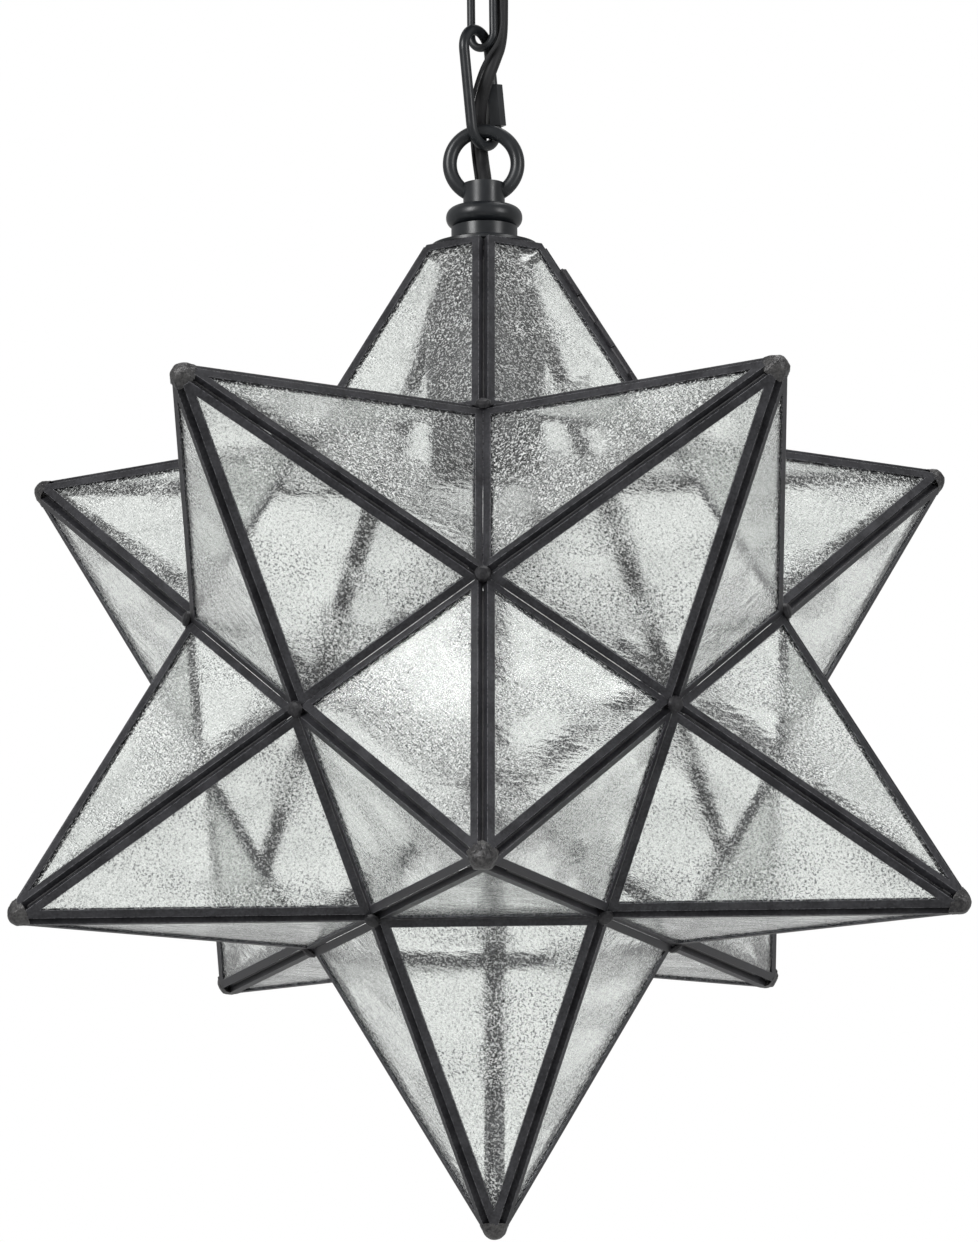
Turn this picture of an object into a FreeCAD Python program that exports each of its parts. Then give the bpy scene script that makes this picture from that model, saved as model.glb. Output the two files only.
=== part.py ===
import FreeCAD, Part
import Sketcher
import math
import os

from FreeCAD import Placement, Rotation, Vector

# A pendant light: a twelve-spiked glass star on a chain below a ceiling canopy.
# Millimetres, +Z up, -Y towards the viewer. The origin is the middle of the crossbar's top face,
# in the plane of the ceiling. The star is a small stellated dodecahedron: a five-sided glass spike
# stands on each face of a dodecahedron, and the top spike is cut short for the fitting.

DIMENSIONS = [
    ("valley_edge", 90.77, "side of the pentagon that a spike stands on"),
    ("tip_cut", 10.3, "spike's sharp tip to the end of its panes"),
    ("crown_cut", 43.0, "top spike's sharp tip to the end of its panes"),
    ("came_depth", 3.3, "came, through its thickness"),
    ("came_flange", 3.3, "came's visible width"),
    ("came_wall", 0.6, "came's sheet"),
    ("glass_play", 0.1, "glass edge to the came's web"),
    ("solder_gap", 0.1, "half the gap between two cames"),
    ("seat_play", 0.05, "between faces that bear on each other"),
    ("door_gap", 0.4, "further gap round the door"),
    ("door_head_gap", 1.4, "further gap above the door"),
    ("barrel_od", 3.4, "hinge barrel"),
    ("pin_dia", 1.6, "hinge pin"),
    ("pin_play", 0.05, "round the hinge pin"),
    ("pin_proud", 1.0, "hinge pin beyond its end knuckles"),
    ("barrel_play", 0.15, "barrel to the cames beside it"),
    ("barrel_head", 14.0, "barrel's upper end below the top of its ridge"),
    ("barrel_foot", 16.1, "barrel's lower end above the foot of its ridge"),
    ("knuckle_gap", 0.3, "between two knuckles"),
    ("knuckle_web", 1.2, "web from a knuckle to its came"),
    ("tab_up", 32.0, "lift tab above the foot of the door"),
    ("tab_long", 9.0, "lift tab, outwards"),
    ("tab_wide", 7.0, "lift tab, along its side of the door"),
    ("tab_thick", 1.0, "lift tab's sheet"),
    ("tab_hole_dia", 3.2, "lift tab's hole"),
    ("cap_solder_dia", 10.6, "solder cap on a tip"),
    ("cap_solder_high", 5.4, "solder cap's height"),
    ("corner_solder_dia", 6.8, "solder in a corner of the valleys"),
    ("corner_solder_high", 2.5, "that solder, above its corner"),
    ("corner_solder_deep", 1.4, "its root, below its corner"),
    ("root_play", 0.15, "root to the cames round it"),
    ("cap_play", 0.2, "cap plate to the cames under it"),
    ("cap_lap", 0.3, "cap plate beyond the middles of the top spike's panes"),
    ("cap_high", 3.4, "cap plate, rim to top"),
    ("cap_rim", 1.2, "cap plate's rim"),
    ("cap_slope", 4.0, "width of the slope inside the rim"),
    ("cap_dish", 0.8, "fall of the cap plate's top, neck to slope"),
    ("neck_dia", 27.0, "neck on the cap plate"),
    ("neck_high", 5.4, "neck"),
    ("neck_foot", 1.5, "flat round the neck"),
    ("bead_dia", 31.2, "round bead on the neck"),
    ("bead_high", 8.6, "bead"),
    ("collar_dia", 17.0, "loop's collar"),
    ("collar_high", 9.9, "loop's collar"),
    ("loop_radius", 13.85, "fixture's loop, to the middle of its wire"),
    ("loop_wire", 5.8, "fixture loop's wire"),
    ("loop_sunk", 5.35, "middle of the loop's lowest wire below the collar's top"),
    ("nipple_dia", 10.0, "threaded nipple"),
    ("nipple_bore", 7.9, "its bore"),
    ("nipple_play", 0.1, "round the nipple"),
    ("nipple_above", 3.4, "nipple's upper end into the collar"),
    ("nipple_below", 33.2, "nipple's lower end below the cap plate"),
    ("nut_corner", 8.1, "lock nut, middle to corner"),
    ("nut_high", 3.4, "lock nut"),
    ("cup_dia", 47.0, "socket cup"),
    ("cup_long", 68.3, "socket cup, shoulder to mouth"),
    ("cup_wall", 1.2, "cup's and its neck's sheet"),
    ("cup_round", 6.0, "cup's shoulder"),
    ("cup_neck_dia", 26.6, "neck on the socket cup"),
    ("cup_neck_long", 18.4, "that neck"),
    ("holder_dia", 34.0, "lamp holder"),
    ("holder_long", 58.0, "lamp holder"),
    ("holder_grip", 6.0, "nipple's lower end into the holder"),
    ("cord_room", 7.0, "nipple's lower end to the end of the cord"),
    ("holder_web", 10.0, "end of the cord to the top of the holder's well"),
    ("well_play", 0.1, "holder's well to the screw shell"),
    ("shell_dia", 26.2, "screw shell's bore"),
    ("shell_wall", 0.4, "screw shell's sheet"),
    ("shell_long", 27.0, "screw shell"),
    ("shell_gap", 3.0, "screw shell below the top of the well"),
    ("contact_dia", 8.0, "centre contact"),
    ("contact_high", 2.5, "centre contact"),
    ("wire_link", 3.4, "chain link's wire"),
    ("link_wide", 11.2, "chain link, between the middles of its legs"),
    ("link_long", 34.6, "chain link, between the middles of its ends"),
    ("link_play", 0.3, "between two links"),
    ("wire_quick", 4.3, "quick link's wire"),
    ("quick_wide", 17.5, "quick link, between the middles of its legs"),
    ("quick_long", 48.2, "quick link, between the middles of its ends"),
    ("quick_bearing", 70.0, "degrees from its upper end's middle to where the chain bears"),
    ("foot_aside", 0.75, "fixture's loop from the quick link's middle line"),
    ("foot_down", 2.7, "fixture's loop below the middle of the quick link's lower end"),
    ("quick_turn", 55.0, "degrees from the fixture's loop to the quick link"),
    ("sleeve_corner", 4.15, "sleeve nut, middle to corner"),
    ("sleeve_long", 17.0, "sleeve nut"),
    ("sleeve_middle", 7.0, "sleeve nut's middle below the quick link's"),
    ("sleeve_play", 0.08, "round the quick link's leg"),
    ("mouth_low", 11.0, "quick link's gap, lower end below its middle"),
    ("mouth_high", 4.0, "quick link's gap, upper end below its middle"),
    ("hook_radius", 10.0, "canopy loop, to the middle of its wire"),
    ("hook_wire", 4.0, "canopy loop's wire"),
    ("hook_below", 9.3, "canopy loop's middle below its stem"),
    ("stem_dia", 24.0, "canopy loop's threaded stem"),
    ("stem_low", -36.0, "stem's lower end"),
    ("stem_seat", -22.0, "end of the nipple's thread in the stem"),
    ("stem_high", -8.0, "stem's upper end"),
    ("canopy_dia", 127.0, "canopy"),
    ("canopy_deep", 25.0, "canopy, ceiling to its lowest face"),
    ("canopy_wall", 1.0, "canopy's sheet"),
    ("canopy_hole_play", 0.5, "canopy's hole to the stem"),
    ("canopy_flat", 7.0, "flat round the canopy's hole"),
    ("canopy_shoulder", 6.0, "width of the canopy's rounded edge"),
    ("ceiling_play", 0.3, "canopy's rim to the ceiling"),
    ("collar_wall", 3.5, "screw collar"),
    ("collar_play", 0.2, "screw collar to the stem"),
    ("collar_seat", 0.1, "screw collar to the canopy"),
    ("screw_collar_high", 6.0, "screw collar"),
    ("collar_bevel", 1.0, "screw collar's edges"),
    ("bar_long", 110.0, "crossbar"),
    ("bar_wide", 18.0, "crossbar"),
    ("bar_thick", 2.0, "crossbar"),
    ("slot_spacing", 70.0, "between the slots' middles"),
    ("slot_long", 14.0, "slot, end to end"),
    ("slot_wide", 5.0, "slot"),
    ("bar_nipple_above", 8.0, "upper nipple above the crossbar"),
    ("bar_nipple_gap", 2.0, "upper nipple's lower end to the end of its thread"),
    ("earth_x", 18.0, "ground screw from the middle"),
    ("earth_shank", 4.0, "ground screw's shank"),
    ("earth_tip", 5.0, "ground screw above the crossbar"),
    ("earth_head", 8.0, "ground screw's head"),
    ("earth_head_high", 2.25, "ground screw's head"),
    ("cord_dia", 5.4, "supply cord"),
    ("earth_dia", 1.6, "ground wire"),
    ("cord_x", 0.8, "cord from the middle of the bores"),
    ("earth_wire_x", -2.7, "ground wire from the middle of the bores"),
    ("cord_lead", 5.0, "cord's first bend below the stem's mouth"),
    ("earth_lead", 1.0, "ground wire's first bend above the stem's mouth"),
    ("splice_low", 12.0, "wire nuts' mouths above the ceiling"),
    ("splice_long", 18.0, "wire nuts"),
    ("splice_mouth", 9.0, "wire nut's mouth"),
    ("splice_tip", 6.0, "wire nut's closed end"),
    ("splice_gap", 0.2, "between the wire nuts"),
]
size = {alias: value for alias, value, meaning in DIMENSIONS}

# The proportions of a spike whose base is a pentagon of side 1.
TIP_HEIGHT = 2.489898  # star's centre to the sharp tip
BASE_HEIGHT = 1.113516  # star's centre to the base
BASE_INRADIUS = 0.688191
BASE_CIRCUMRADIUS = 0.850651
SLANT = 1.538842  # middle of the base's side to the tip, along the pane
RIDGE_LONG = 1.618034  # corner of the base to the tip, along the ridge
CORNER_RADIUS = 1.401259  # star's centre to a corner of the valleys
# The same spike for each millimetre along its axis, below its tip.
AXIAL_TO_SLANT = 1.118034
AXIAL_TO_RIDGE = 1.175571
TIP_CROSS = 0.618034  # radius of its corners
TIP_INRADIUS = 0.5
# A pane's outward normal, away from the spike's axis and along it.
LEAN_OUT = 0.894427
LEAN_UP = 0.447214

THROUGH = 1.0  # how far a drill runs past the faces it opens
SKETCH_START = 30.0  # radius at which a sketch's corners start


# The chain. Each link turns a quarter against the next, and all hang on one upright line.


def upright(angle):
    """Level directions across and along a link turned this far from the fixture's loop."""
    turn = math.radians(angle)
    return Vector(math.cos(turn), math.sin(turn), 0), Vector(math.sin(turn), -math.cos(turn), 0)


def quick_bearings():
    """Where the quick link bears on the loop below and the link above, in its own frame."""
    angle = math.radians(size["quick_bearing"])
    half_axis = (size["quick_long"] - size["quick_wide"]) / 2
    inner = (size["quick_wide"] - size["wire_quick"]) / 2
    offset = inner - size["link_play"] - size["wire_link"] / 2
    head = Vector(offset * math.sin(angle), half_axis + offset * math.cos(angle), 0)
    return Vector(-size["foot_aside"], -half_axis - size["foot_down"], 0), head


up = Vector(0, 0, 1)
quick_across, chain_across = upright(size["quick_turn"])
foot_bearing, head_bearing = quick_bearings()
quick_span = head_bearing - foot_bearing
lean = math.atan2(quick_span.x, quick_span.y)

swing_link_2 = size["stem_low"] - size["hook_below"] - size["hook_radius"]
swing_link_1 = swing_link_2 - size["link_long"] + (
    size["wire_link"] / 2 + size["hook_wire"] / 2 + size["link_play"]
)
swing_quick = swing_link_1 - size["link_long"] + size["wire_link"] + size["link_play"]
swing_star = swing_quick - quick_span.Length

# The star hangs where the chain leaves it, so its centre's height is worked out, not chosen.
loop_top = (
    TIP_HEIGHT * size["valley_edge"] - size["crown_cut"] + size["cap_play"] + size["cap_high"]
    + size["neck_high"] + size["bead_high"] + size["collar_high"] - size["loop_sunk"]
    + 2 * size["loop_radius"]
)
star_centre = Vector(0, 0, swing_star - loop_top)
size["star_drop"] = -star_centre.z

doc = FreeCAD.newDocument("moravian_star_pendant")
sheet = doc.addObject("Spreadsheet::Sheet", "dims")
rows = DIMENSIONS + [("star_drop", size["star_drop"], "ceiling to the star's centre")]
for row, (alias, value, meaning) in enumerate(rows, start=1):
    sheet.set(f"A{row}", meaning)
    sheet.set(f"B{row}", str(value))
    sheet.setAlias(f"B{row}", alias)
doc.recompute()

nodes = []


def keep(thing):
    """Put an object on the list of sub-parts."""
    nodes.append(thing)
    return thing


def bind(thing, **expressions):
    """Bind an object's properties to the sheet."""
    for name, expression in expressions.items():
        thing.setExpression(name.replace("__", "."), expression)
    return thing


def origin_plane(body, role):
    return [feature for feature in body.Origin.OriginFeatures if feature.Role == role][0]


def outline(body, name, plane, points):
    """A closed polygon whose corners are pairs of expressions."""
    sketch = body.newObject("Sketcher::SketchObject", name)
    sketch.AttachmentSupport = [(origin_plane(body, plane), "")]
    sketch.MapMode = "FlatFace"
    count = len(points)
    start = []
    for i in range(count):
        angle = 2 * math.pi * (i + 0.4) / count
        start.append(Vector(math.cos(angle), math.sin(angle), 0) * SKETCH_START)
    for i in range(count):
        sketch.addGeometry(Part.LineSegment(start[i], start[(i + 1) % count]), False)
    for i in range(count):
        sketch.addConstraint(Sketcher.Constraint("Coincident", i, 2, (i + 1) % count, 1))
    for i, (x, y) in enumerate(points):
        if x == "0":
            sketch.addConstraint(Sketcher.Constraint("PointOnObject", i, 1, -2))
        else:
            number = sketch.addConstraint(Sketcher.Constraint("DistanceX", -1, 1, i, 1, start[i].x))
            sketch.setExpression(f"Constraints[{number}]", x)
        number = sketch.addConstraint(Sketcher.Constraint("DistanceY", -1, 1, i, 1, start[i].y))
        sketch.setExpression(f"Constraints[{number}]", y)
    return sketch


def turned(label, points, rounds=()):
    """A piece turned about Z from corners (radius, height), some of them rounded."""
    body = doc.addObject("PartDesign::Body", label)
    sketch = outline(body, label + "_profile", "XZ_Plane", points)
    feature = body.newObject("PartDesign::Revolution", label + "_turned")
    feature.Profile = sketch
    feature.ReferenceAxis = (sketch, ["V_Axis"])
    feature.Angle = 360
    doc.recompute()
    for corner, radius in rounds:
        place = sketch.Geometry[corner].StartPoint
        edges = []
        for i, edge in enumerate(body.Shape.Edges, start=1):
            if isinstance(edge.Curve, Part.Circle):
                centre = edge.Curve.Center
                if abs(edge.Curve.Radius - place.x) < 0.01 and abs(centre.z - place.y) < 0.01:
                    edges.append(f"Edge{i}")
        rounded = body.newObject("PartDesign::Fillet", f"{label}_round_{corner}")
        rounded.Base = (feature, edges)
        bind(rounded, Radius=radius)
        feature = rounded
        doc.recompute()
    return body


def primitive(kind, label, **expressions):
    return bind(doc.addObject("Part::" + kind, label), **expressions)


def fuse(label, pieces):
    thing = doc.addObject("Part::MultiFuse", label)
    thing.Shapes = pieces
    return thing


def cut(label, base, tool):
    thing = doc.addObject("Part::Cut", label)
    thing.Base = base
    thing.Tool = tool
    return thing


def copies(label, master, placements):
    """One sub-part made of equal pieces, each a link to the same master."""
    links = []
    for number, placement in enumerate(placements, start=1):
        link = doc.addObject("App::Link", f"{label}_copy_{number}")
        link.LinkedObject = master
        link.Placement = placement
        links.append(link)
    group = doc.addObject("Part::Compound", label)
    group.Links = links
    return group


# The star's twelve spikes.


def bearing(azimuth, radius, height):
    """A point by its azimuth, in degrees from -Y towards +X."""
    angle = math.radians(azimuth)
    return Vector(radius * math.sin(angle), -radius * math.cos(angle), height)


def spike_directions():
    ring = 2 / math.sqrt(5)
    rise = 1 / math.sqrt(5)
    directions = {"top": Vector(0, 0, 1), "bottom": Vector(0, 0, -1)}
    for i in range(5):
        directions[f"upper_{i + 1}"] = bearing(36 + 72 * i, ring, rise)
        directions[f"lower_{i + 1}"] = bearing(72 * i, ring, -rise)
    return directions


spikes = spike_directions()


def neighbours(direction):
    return [other for other in spikes.values() if 0.3 < other.dot(direction) < 0.6]


def pane_place(spike, neighbour):
    """Where a pane of this spike lies, on the side of the neighbouring spike."""
    side = (neighbour - spike * neighbour.dot(spike)).normalize()
    outward = side * LEAN_OUT + spike * LEAN_UP
    slope = spike * LEAN_OUT - side * LEAN_UP
    across = slope.cross(outward)
    edge = size["valley_edge"]
    middle = star_centre + spike * (BASE_HEIGHT * edge) + side * (BASE_INRADIUS * edge)
    return Placement(middle, Rotation(across, slope, outward, "XYZ"))


# A pane lies flat in its own frame: its outer face at Z 0, the middle of its base at the origin
# and its tip along +Y. Its two long sides lean 18 degrees. Cames stand square to their panes, so
# their inner corners meet at a ridge and leave an open groove there.

RIDGE_SETBACK = f"({TIP_CROSS} * dims.came_depth + dims.solder_gap)"


def half_width(level, inset):
    return f"(dims.valley_edge / 2 - ({level}) * tan(18 deg) - ({inset}) / cos(18 deg))"


def pane_outline(foot, side, head):
    """A pane's corners, with its base, its long sides and its cut-off head moved inwards."""
    return [
        (f"-{half_width(foot, side)}", foot),
        (half_width(foot, side), foot),
        (half_width(head, side), head),
        (f"-{half_width(head, side)}", head),
    ]


def window_outline(foot, side):
    """The same where the long sides meet before they reach the head."""
    tip = f"((dims.valley_edge / 2 - ({side}) / cos(18 deg)) / tan(18 deg))"
    return [(f"-{half_width(foot, side)}", foot), (half_width(foot, side), foot), ("0", tip)]


def plate(label, points, thickness, below="0"):
    """A flat piece of an outline, its outer face this far below Z 0."""
    body = doc.addObject("PartDesign::Body", label)
    sketch = outline(body, label + "_outline", "XY_Plane", points)
    bind(sketch, AttachmentOffset__Base__z=f"-({below})")
    pad = body.newObject("PartDesign::Pad", label + "_pad")
    pad.Profile = sketch
    pad.Reversed = True
    bind(pad, Length=thickness)
    return body


def framed_pane(label, cut_off, foot, side, head, open_to_tip):
    """A came round a pane, and the glass in its channel."""
    top = f"({SLANT} * dims.valley_edge - {AXIAL_TO_SLANT} * dims.{cut_off} - ({head}))"
    came = plate(label + "_came", pane_outline(foot, side, top), "dims.came_depth")
    inner_foot = f"{foot} + dims.came_flange"
    inner_side = f"{side} + dims.came_flange"
    if open_to_tip:
        window = window_outline(inner_foot, inner_side)
    else:
        window = pane_outline(inner_foot, inner_side, f"{top} - dims.came_flange")
    opening = came.newObject("PartDesign::Pocket", label + "_opening")
    opening.Profile = outline(came, label + "_window", "XY_Plane", window)
    opening.Type = "ThroughAll"
    web = "dims.came_wall"
    sheet_thickness = "dims.came_depth - 2 * dims.came_wall"
    channel = came.newObject("PartDesign::Pocket", label + "_channel")
    channel.Profile = outline(
        came,
        label + "_channel_outline",
        "XY_Plane",
        pane_outline(f"{foot} + {web}", f"{side} + {web}", f"{top} - {web}"),
    )
    bind(channel.Profile[0], AttachmentOffset__Base__z=f"-{web}")
    bind(channel, Length=sheet_thickness)
    edge = f"{web} + dims.glass_play"
    glass = plate(
        label + "_glass",
        pane_outline(f"{foot} + {edge}", f"{side} + {edge}", f"{top} - ({edge})"),
        sheet_thickness,
        web,
    )
    return came, glass


long_came, long_glass = framed_pane("long", "tip_cut", "dims.solder_gap", RIDGE_SETBACK, "0", True)
short_came, short_glass = framed_pane(
    "short", "crown_cut", "dims.solder_gap", RIDGE_SETBACK, "0", False
)
door_came, door_pane = framed_pane(
    "door_pane",
    "crown_cut",
    "dims.solder_gap + dims.door_gap",
    RIDGE_SETBACK,
    "dims.door_head_gap",
    False,
)

door_side = spikes["upper_2"]
for name, direction in spikes.items():
    places = []
    for other in neighbours(direction):
        if name == "top" and other == door_side:
            continue
        places.append(pane_place(direction, other))
    came, glass = (short_came, short_glass) if name == "top" else (long_came, long_glass)
    keep(copies("came_" + name, came, places))
    keep(copies("glass_" + name, glass, places))
door_place = pane_place(spikes["top"], door_side)
keep(copies("door_frame", door_came, [door_place]))
keep(copies("door_glass", door_pane, [door_place]))


# Solder holds the panes together at the tips and in the corners of the valleys.


def tip_places():
    reach = TIP_HEIGHT * size["valley_edge"] - size["tip_cut"]
    for name, direction in spikes.items():
        if name != "top":
            yield Placement(star_centre + direction * reach, Rotation(Vector(0, 0, 1), direction))


tip_cap = turned("tip_cap", [
    ("0", "dims.seat_play"),
    ("dims.cap_solder_dia / 2", "dims.seat_play"),
    ("dims.cap_solder_dia / 2", "dims.cap_solder_high"),
    ("0", "dims.cap_solder_high"),
], [(2, "dims.cap_solder_high / 2")])
keep(copies("tip_solder_caps", tip_cap, tip_places()))


def corner_triples():
    """Each corner of the valleys lies between three spikes."""
    found = []
    names = list(spikes)
    for i, first in enumerate(names):
        for j in range(i + 1, len(names)):
            for k in range(j + 1, len(names)):
                triple = [spikes[first], spikes[names[j]], spikes[names[k]]]
                pairs = [(0, 1), (1, 2), (0, 2)]
                if all(0.3 < triple[a].dot(triple[b]) < 0.6 for a, b in pairs):
                    found.append(triple)
    return found


def at_door(triple):
    return spikes["top"] in triple and door_side in triple


def corner_places():
    """The corners of the valleys, but for the door's own two, which stay free for it to open."""
    reach = CORNER_RADIUS * size["valley_edge"]
    for triple in corner_triples():
        if not at_door(triple):
            outward = (triple[0] + triple[1] + triple[2]).normalize()
            yield Placement(star_centre + outward * reach, Rotation(Vector(0, 0, 1), outward))


# Six panes meet at a corner. The solder's root fills the space between their cames, and its head
# covers the corner.
ROOT_RADIUS = f"({RIDGE_SETBACK} - dims.root_play)"
keep(copies("valley_solder", turned("corner_solder", [
    ("0", "-dims.corner_solder_deep"),
    (f"0.7 * {ROOT_RADIUS}", "-dims.corner_solder_deep"),
    (ROOT_RADIUS, "-0.36 * dims.corner_solder_deep"),
    (ROOT_RADIUS, "dims.root_play"),
    ("dims.corner_solder_dia / 2", "dims.root_play"),
    ("0.43 * dims.corner_solder_dia", "0.6 * dims.corner_solder_high"),
    ("0.25 * dims.corner_solder_dia", "0.92 * dims.corner_solder_high"),
    ("0", "dims.corner_solder_high"),
]), corner_places()))


# The door: a rear pane of the top spike, hinged along a ridge and closed by its own weight.

tip = star_centre + spikes["top"] * (TIP_HEIGHT * size["valley_edge"])
ridge_foot = star_centre + bearing(
    72, BASE_CIRCUMRADIUS * size["valley_edge"], BASE_HEIGHT * size["valley_edge"]
)
ridge = (tip - ridge_foot).normalize()
fixed_normal = pane_place(spikes["top"], spikes["upper_1"]).Rotation.multVec(up)
door_normal = door_place.Rotation.multVec(up)
ridge_out = (fixed_normal + door_normal).normalize()
ridge_across = ridge.cross(ridge_out)

# The groove's sides stand 31.7 degrees from its middle, and the barrel lies between them.
groove_half = math.atan(TIP_CROSS)
groove_foot = size["came_depth"] / math.cos(groove_half) + size["solder_gap"] / math.sin(groove_half)
barrel_rise = (size["barrel_od"] / 2 + size["barrel_play"]) / math.sin(groove_half) - groove_foot
cut_along_ridge = AXIAL_TO_RIDGE * size["crown_cut"]
barrel_top = tip - ridge * (cut_along_ridge + size["barrel_head"]) + ridge_out * barrel_rise

KNUCKLES = 5
BARREL_LONG = (
    f"({RIDGE_LONG} * dims.valley_edge - {AXIAL_TO_RIDGE} * dims.crown_cut"
    " - dims.barrel_head - dims.barrel_foot)"
)
KNUCKLE_LONG = f"(({BARREL_LONG} - {KNUCKLES - 1} * dims.knuckle_gap) / {KNUCKLES})"
barrel_long = (
    RIDGE_LONG * size["valley_edge"] - cut_along_ridge - size["barrel_head"] - size["barrel_foot"]
)
knuckle_long = (barrel_long - (KNUCKLES - 1) * size["knuckle_gap"]) / KNUCKLES


def hinge_place(below):
    """The hinge's frame, its Z up the ridge and its X outwards, this far down the barrel."""
    turn = Rotation(ridge_out, ridge_across * -1, ridge, "ZXY")
    return Placement(barrel_top - ridge * below, turn)


def knuckles(label, numbers, inward):
    """Tubes on the pin, each with a web of solder to its came, which lies inward of the ridge."""
    pieces = []
    for number in numbers:
        lower_end = hinge_place(number * (knuckle_long + size["knuckle_gap"]) + knuckle_long)
        knuckle = primitive(
            "Cylinder", f"{label}_tube_{number}", Radius="dims.barrel_od / 2", Height=KNUCKLE_LONG
        )
        knuckle.Placement = lower_end
        web = primitive(
            "Box",
            f"{label}_web_{number}",
            Length="dims.barrel_od / 2 + dims.barrel_play",
            Width="dims.knuckle_web",
            Height=KNUCKLE_LONG,
        )
        depth = inward.cross(ridge)
        corner = lower_end.Base - depth * (size["knuckle_web"] / 2)
        web.Placement = Placement(corner, Rotation(inward, depth, ridge, "ZXY"))
        pieces += [knuckle, web]
    bore = primitive(
        "Cylinder",
        label + "_bore",
        Radius="dims.pin_dia / 2 + dims.pin_play",
        Height=f"{BARREL_LONG} + {2 * THROUGH}",
    )
    bore.Placement = hinge_place(barrel_long + THROUGH)
    return keep(cut(label, fuse(label + "_solid", pieces), bore))


knuckles("hinge_fixed_knuckles", [0, 2, 4], fixed_normal.cross(ridge).normalize())
knuckles("hinge_door_knuckles", [1, 3], ridge.cross(door_normal).normalize())
hinge_pin = primitive(
    "Cylinder",
    "hinge_pin",
    Radius="dims.pin_dia / 2",
    Height=f"{BARREL_LONG} + 2 * dims.pin_proud",
)
hinge_pin.Placement = hinge_place(barrel_long + size["pin_proud"])
keep(hinge_pin)


def tab_place():
    """Upright on the middle of the came along the door's free side."""
    side_angle = math.radians(18)
    inset = TIP_CROSS * size["came_depth"] + size["solder_gap"]
    inset += (size["came_flange"] - size["tab_thick"]) / 2
    aside = size["valley_edge"] / 2 - size["tab_up"] * math.tan(side_angle)
    aside -= inset / math.cos(side_angle)
    along = Vector(-math.sin(side_angle), math.cos(side_angle), 0)
    foot = Vector(aside, size["tab_up"], size["seat_play"])
    return door_place.multiply(Placement(foot, Rotation(along, up.cross(along), up, "ZXY")))


# A tab with a hole, to lift the door by.
tab_plate = primitive(
    "Box", "tab_plate", Length="dims.tab_wide", Width="dims.tab_thick", Height="dims.tab_long"
)
tab_hole = primitive(
    "Cylinder",
    "tab_hole",
    Radius="dims.tab_hole_dia / 2",
    Height=f"dims.tab_thick + {2 * THROUGH}",
)
tab_hole.Placement = Placement(Vector(), Rotation(Vector(1, 0, 0), -90))
bind(
    tab_hole,
    Placement__Base__x="dims.tab_wide / 2",
    Placement__Base__y=f"-{THROUGH}",
    Placement__Base__z="dims.tab_long - dims.tab_hole_dia",
)
lift_tab = cut("door_lift_tab", tab_plate, tab_hole)
lift_tab.Placement = tab_place()
keep(lift_tab)


# The fitting on the top spike.

NIPPLE_HOLE = "dims.nipple_dia / 2 + dims.nipple_play"

# Heights of the stack, each from the piece below it.
CAP_LOW = f"({TIP_HEIGHT} * dims.valley_edge - dims.crown_cut + dims.cap_play - dims.star_drop)"
CAP_HIGH = f"({CAP_LOW} + dims.cap_high)"
NECK_HIGH = f"({CAP_HIGH} + dims.neck_high)"
BEAD_HIGH = f"({NECK_HIGH} + dims.bead_high)"
COLLAR_HIGH = f"({BEAD_HIGH} + dims.collar_high)"
LOOP_MIDDLE = f"({COLLAR_HIGH} - dims.loop_sunk + dims.loop_radius)"
NIPPLE_HIGH = f"({BEAD_HIGH} + dims.nipple_above)"
NIPPLE_LOW = f"({CAP_LOW} - dims.nipple_below)"
NUT_LOW = f"({CAP_LOW} - dims.seat_play - dims.nut_high)"
CUP_NECK_HIGH = f"({NUT_LOW} - dims.seat_play)"
CUP_HIGH = f"({CUP_NECK_HIGH} - dims.cup_neck_long)"
HOLDER_HIGH = f"({NIPPLE_LOW} + dims.holder_grip)"
CORD_END = f"({NIPPLE_LOW} - dims.cord_room)"
WELL_HIGH = f"({CORD_END} - dims.holder_web)"
SHELL_HIGH = f"({WELL_HIGH} - dims.shell_gap)"
CAP_RADIUS = f"({TIP_INRADIUS} * dims.crown_cut + dims.cap_lap)"

keep(turned("cap_plate", [
    (NIPPLE_HOLE, CAP_LOW),
    (CAP_RADIUS, CAP_LOW),
    (CAP_RADIUS, f"{CAP_LOW} + dims.cap_rim"),
    (f"{CAP_RADIUS} - dims.cap_slope", f"{CAP_HIGH} - dims.cap_dish"),
    ("dims.neck_dia / 2 + dims.neck_foot", CAP_HIGH),
    (NIPPLE_HOLE, CAP_HIGH),
]))
keep(turned("neck", [
    (NIPPLE_HOLE, CAP_HIGH),
    ("dims.neck_dia / 2", CAP_HIGH),
    ("dims.neck_dia / 2", NECK_HIGH),
    (NIPPLE_HOLE, NECK_HIGH),
]))
keep(turned("bead", [
    (NIPPLE_HOLE, NECK_HIGH),
    ("dims.bead_dia / 2", NECK_HIGH),
    ("dims.bead_dia / 2", BEAD_HIGH),
    (NIPPLE_HOLE, BEAD_HIGH),
], [(1, "0.48 * dims.bead_high"), (2, "0.48 * dims.bead_high")]))


def eye(label, radius, wire):
    """A ring of wire, upright in its own frame."""
    return primitive("Torus", label, Radius1=radius, Radius2=wire)


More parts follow.
